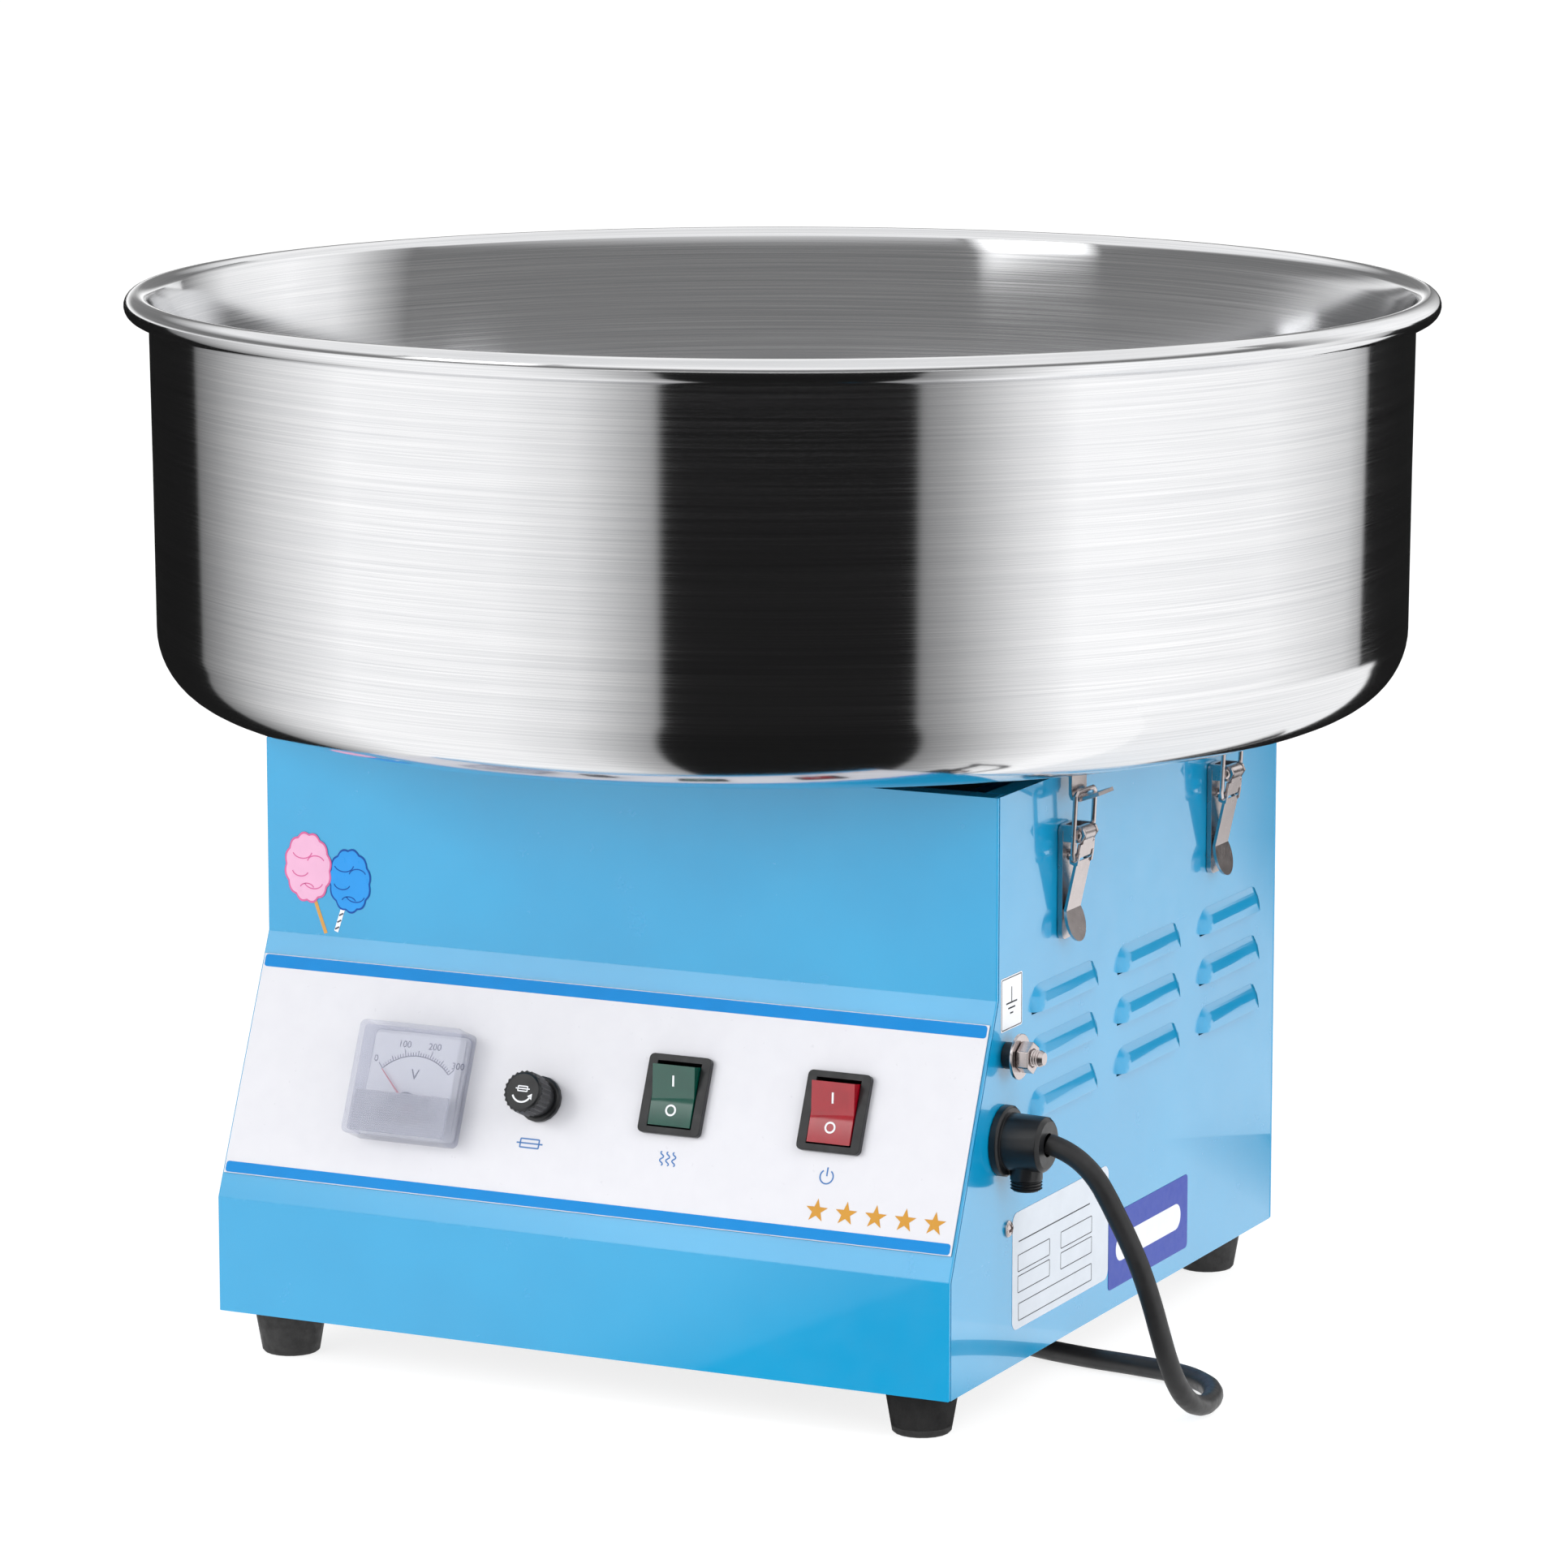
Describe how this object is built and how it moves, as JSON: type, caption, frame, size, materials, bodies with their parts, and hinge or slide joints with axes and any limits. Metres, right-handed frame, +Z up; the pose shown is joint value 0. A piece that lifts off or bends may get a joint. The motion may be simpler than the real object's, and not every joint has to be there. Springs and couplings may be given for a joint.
{
  "type": "cotton candy machine",
  "caption": "Table-top cotton candy machine: stepped sheet-metal body with control fascia, rubber feet, side toggle latches and a wide removable steel bowl round a spinner head.",
  "frame": {"origin": "on the surface the machine stands on, under the bowl's axis", "axes": "+X to the machine's right seen from the front, -Y is the front with the controls, +Z up"},
  "size_m": [0.5196, 0.5196, 0.411],
  "materials": {
    "blue_paint": "gloss",
    "steel": "brushed",
    "nickel": "polished",
    "dark_steel": "satin",
    "aluminium": "satin",
    "brass": "satin",
    "rubber": "matte",
    "cord_rubber": "satin",
    "black_plastic": "textured",
    "clear_plastic": "clear",
    "glass": "clear",
    "white_plastic": "satin",
    "needle_red": "satin",
    "green_rocker": "gloss",
    "red_rocker": "gloss",
    "printed_sheet": "satin"
  },
  "bodies": {
    "machine": {"front_panel": "blue_paint", "right_side_panel": "blue_paint", "left_side_panel": "blue_paint", "rear_panel": "blue_paint", "base_plate": "dark_steel", "motor_bridge": "dark_steel", "motor_housing": "dark_steel", "foot_front_right": "rubber", "foot_front_left": "rubber", "foot_rear_right": "rubber", "foot_rear_left": "rubber", "bowl_seat_ring": "rubber", "control_fascia": "printed_sheet", "gland_clamp_screw": "black_plastic", "fuse_holder": "black_plastic", "heat_switch_bezel": "black_plastic", "power_switch_bezel": "black_plastic", "earth_spacer": "black_plastic", "cord_gland": "black_plastic", "brush_block": "black_plastic", "mains_plug": "black_plastic", "voltmeter_cover": "clear_plastic", "voltmeter_movement": "white_plastic", "voltmeter_dial": "white_plastic", "terminal_block": "white_plastic", "earth_stud": "nickel", "earth_washer": "nickel", "earth_nut": "nickel", "latch_base_front_right": "nickel", "latch_base_rear_right": "nickel", "latch_base_front_left": "nickel", "latch_base_rear_left": "nickel", "cord_run": "cord_rubber", "cord_coil": "cord_rubber", "shaft_bearing": "brass"},
    "bowl": {"bowl": "steel", "latch_keeper_front_right": "nickel", "latch_keeper_rear_right": "nickel", "latch_keeper_front_left": "nickel", "latch_keeper_rear_left": "nickel"},
    "spinner": {"drive_shaft": "nickel", "slip_rings": "brass", "spinner_base": "aluminium", "heating_ring": "dark_steel", "spinner_band": "aluminium", "spinner_lid": "aluminium"},
    "heat_rocker": {"heat_rocker": "green_rocker"},
    "power_rocker": {"power_rocker": "red_rocker"},
    "needle": {"voltmeter_needle": "needle_red"},
    "fuse_carrier": {"fuse_cartridge": "glass"},
    "fuse_cap": {"fuse_cap": "black_plastic"},
    "lever_front_right": {"latch_lever_front_right": "nickel"},
    "bail_front_right": {"latch_bail_front_right": "nickel"},
    "lever_rear_right": {"latch_lever_rear_right": "nickel"},
    "bail_rear_right": {"latch_bail_rear_right": "nickel"},
    "lever_front_left": {"latch_lever_front_left": "nickel"},
    "bail_front_left": {"latch_bail_front_left": "nickel"},
    "lever_rear_left": {"latch_lever_rear_left": "nickel"},
    "bail_rear_left": {"latch_bail_rear_left": "nickel"}
  },
  "joints": [
    {"name": "bowl_lift", "type": "slide", "parent": "machine", "child": "bowl", "axis": [0, 0, 1], "range_m": [0, 0.2]},
    {"name": "spinner_turn", "type": "hinge", "parent": "machine", "child": "spinner", "pos_m": [0, 0, 0.27], "axis": [0, 0, 1], "continuous": true},
    {"name": "heat_rocker_tip", "type": "hinge", "parent": "machine", "child": "heat_rocker", "pos_m": [0.033, -0.16069, 0.11883], "axis": [-1, 0, 0], "range_deg": [0, 22]},
    {"name": "power_rocker_tip", "type": "hinge", "parent": "machine", "child": "power_rocker", "pos_m": [0.1, -0.16069, 0.11883], "axis": [-1, 0, 0], "range_deg": [0, 22]},
    {"name": "needle_swing", "type": "hinge", "parent": "machine", "child": "needle", "pos_m": [-0.0785, -0.17, 0.10508], "axis": [0, 0.9206, -0.3905], "range_deg": [0, 90], "stiffness_Nm_per_rad": 0.0002},
    {"name": "fuse_pull", "type": "slide", "parent": "machine", "child": "fuse_carrier", "axis": [0, -0.9206, 0.3905], "range_m": [0, 0.045]},
    {"name": "fuse_cap_turn", "type": "hinge", "parent": "fuse_carrier", "child": "fuse_cap", "pos_m": [-0.024, -0.16545, 0.11325], "axis": [0, -0.9206, 0.3905], "range_deg": [0, 90]},
    {"name": "latch_front_right", "type": "hinge", "parent": "machine", "child": "lever_front_right", "pos_m": [0.165, -0.078, 0.2175], "axis": [0, -1, 0], "range_deg": [0, 100]},
    {"name": "bail_front_right", "type": "hinge", "parent": "lever_front_right", "child": "bail_front_right", "pos_m": [0.1644, -0.078, 0.208], "axis": [0, 1, 0], "range_deg": [0, 92]},
    {"name": "latch_rear_right", "type": "hinge", "parent": "machine", "child": "lever_rear_right", "pos_m": [0.165, 0.071, 0.2175], "axis": [0, -1, 0], "range_deg": [0, 100]},
    {"name": "bail_rear_right", "type": "hinge", "parent": "lever_rear_right", "child": "bail_rear_right", "pos_m": [0.1644, 0.071, 0.208], "axis": [0, 1, 0], "range_deg": [0, 92]},
    {"name": "latch_front_left", "type": "hinge", "parent": "machine", "child": "lever_front_left", "pos_m": [-0.165, -0.078, 0.2175], "axis": [0, 1, 0], "range_deg": [0, 100]},
    {"name": "bail_front_left", "type": "hinge", "parent": "lever_front_left", "child": "bail_front_left", "pos_m": [-0.1644, -0.078, 0.208], "axis": [0, -1, 0], "range_deg": [0, 92]},
    {"name": "latch_rear_left", "type": "hinge", "parent": "machine", "child": "lever_rear_left", "pos_m": [-0.165, 0.071, 0.2175], "axis": [0, 1, 0], "range_deg": [0, 100]},
    {"name": "bail_rear_left", "type": "hinge", "parent": "lever_rear_left", "child": "bail_rear_left", "pos_m": [-0.1644, 0.071, 0.208], "axis": [0, -1, 0], "range_deg": [0, 92]}
  ],
  "couplings": [
    {"joint": "bail_front_right", "follows": "latch_front_right", "ratio": 0.92},
    {"joint": "bail_rear_right", "follows": "latch_rear_right", "ratio": 0.92},
    {"joint": "bail_front_left", "follows": "latch_front_left", "ratio": 0.92},
    {"joint": "bail_rear_left", "follows": "latch_rear_left", "ratio": 0.92}
  ]
}
